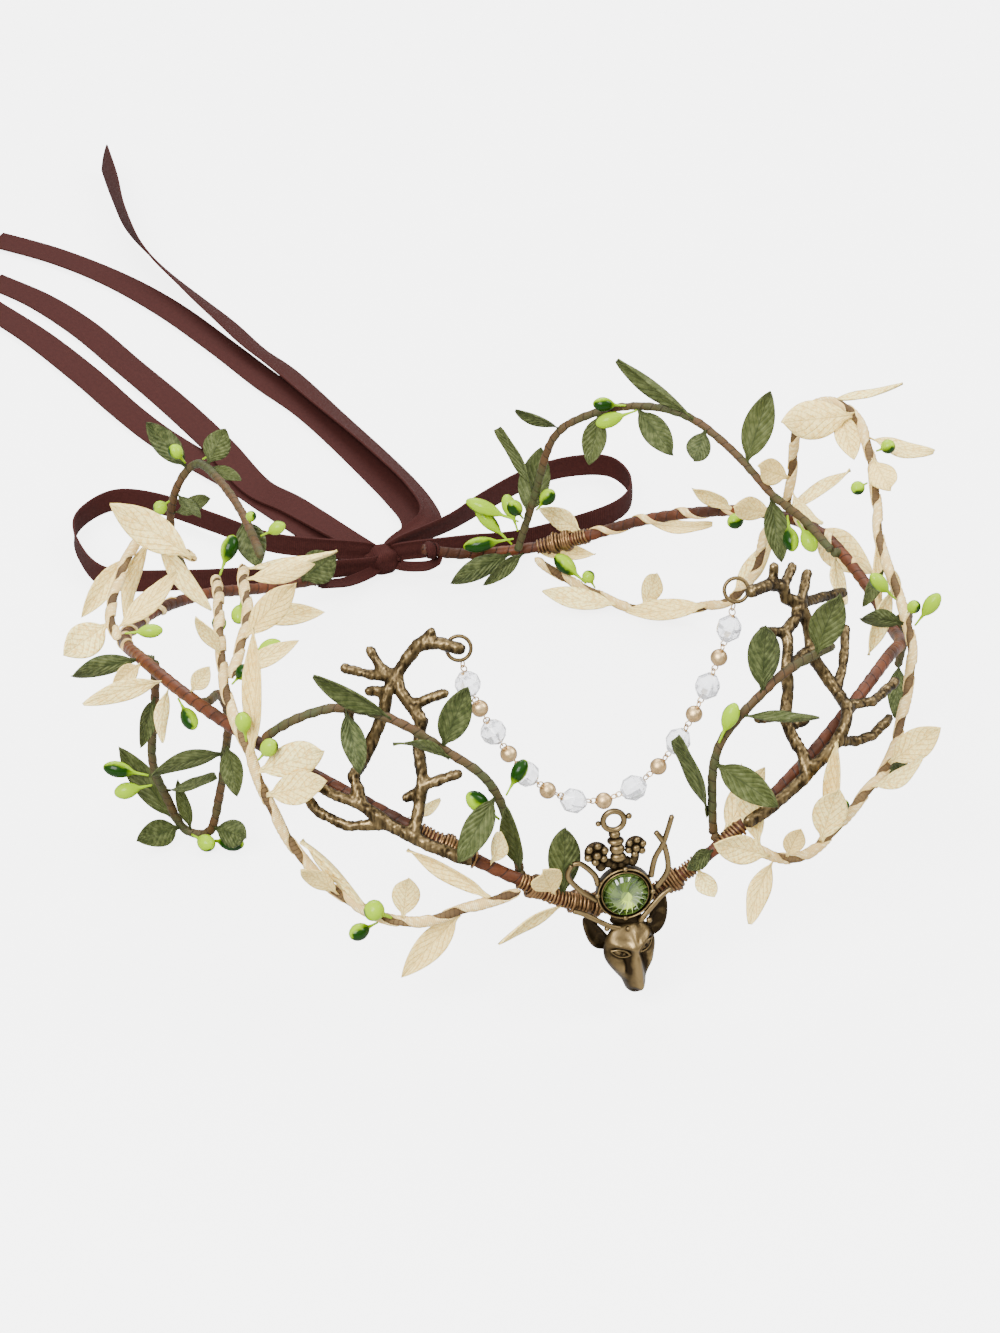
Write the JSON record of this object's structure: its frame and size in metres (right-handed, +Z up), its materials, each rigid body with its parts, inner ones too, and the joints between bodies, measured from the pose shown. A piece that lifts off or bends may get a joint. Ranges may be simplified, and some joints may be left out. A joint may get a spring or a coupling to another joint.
{
  "type": "leaf crown",
  "caption": "Open wrapped hoop with leaf garlands, two cast antlers, a bead chain, a deer head charm at the front and a ribbon bow at the back.",
  "frame": {"origin": "centre of the head opening, on the surface that the crown rests on", "axes": "+Z up, the opening's axis; -Y towards the crown's front with the charm; +X towards the wearer's left"},
  "size_m": [0.2275, 0.4872, 0.0913],
  "materials": {
    "hoop_wrap": "waxed cord over wire",
    "binding_wire": "dark copper wire",
    "garland_cord": "taped cord wound with cream braid",
    "gold_leaf": "stiffened woven cloth with a gold thread",
    "green_leaf": "stiffened printed cloth",
    "vine_tape": "florist's tape over wire",
    "bud": "glossy",
    "antique_brass": "dark patina with worn highlights",
    "gold_metal": "polished",
    "crystal": "cut and polished",
    "green_stone": "cut and polished",
    "ribbon": "matte"
  },
  "bodies": {
    "root": {"hoop": "hoop_wrap", "hoop_wire": "binding_wire", "garland_cord_left": "garland_cord", "garland_cord_side": "garland_cord", "garland_cord_right": "garland_cord", "garland_cord_back": "garland_cord", "gold_leaves_left": "gold_leaf", "gold_leaves_front": "gold_leaf", "gold_leaves_right": "gold_leaf", "gold_leaves_back": "gold_leaf", "vine_back": "vine_tape", "vine_front_left": "vine_tape", "vine_front_right": "vine_tape", "vine_left_top": "vine_tape", "vine_left_low": "vine_tape", "vine_right": "vine_tape", "green_leaves_back": "green_leaf", "green_leaves_front_left": "green_leaf", "green_leaves_front_right": "green_leaf", "green_leaves_left_top": "green_leaf", "green_leaves_left_low": "green_leaf", "green_leaves_right": "green_leaf", "buds_left": "bud", "buds_front": "bud", "buds_back": "bud", "buds_right": "bud", "antler_left": "antique_brass", "antler_right": "antique_brass", "jump_ring_left": "antique_brass", "jump_ring_right": "antique_brass", "chain_eyes": "gold_metal", "crystal_1": "crystal", "crystal_2": "crystal", "crystal_3": "crystal", "crystal_4": "crystal", "crystal_5": "crystal", "crystal_6": "crystal", "crystal_7": "crystal", "crystal_8": "crystal", "gold_bead_1": "gold_metal", "gold_bead_2": "gold_metal", "gold_bead_3": "gold_metal", "gold_bead_4": "gold_metal", "gold_bead_5": "gold_metal", "gold_bead_6": "gold_metal", "gold_bead_7": "gold_metal", "deer_pendant": "antique_brass", "pendant_gem": "green_stone", "ribbon_knot": "ribbon", "ribbon_hitch_left": "ribbon", "ribbon_hitch_right": "ribbon", "ribbon_loop_left": "ribbon", "ribbon_loop_right": "ribbon", "ribbon_tail_1": "ribbon", "ribbon_tail_2": "ribbon", "ribbon_tail_3": "ribbon", "ribbon_tail_4": "ribbon"}
  },
  "joints": []
}
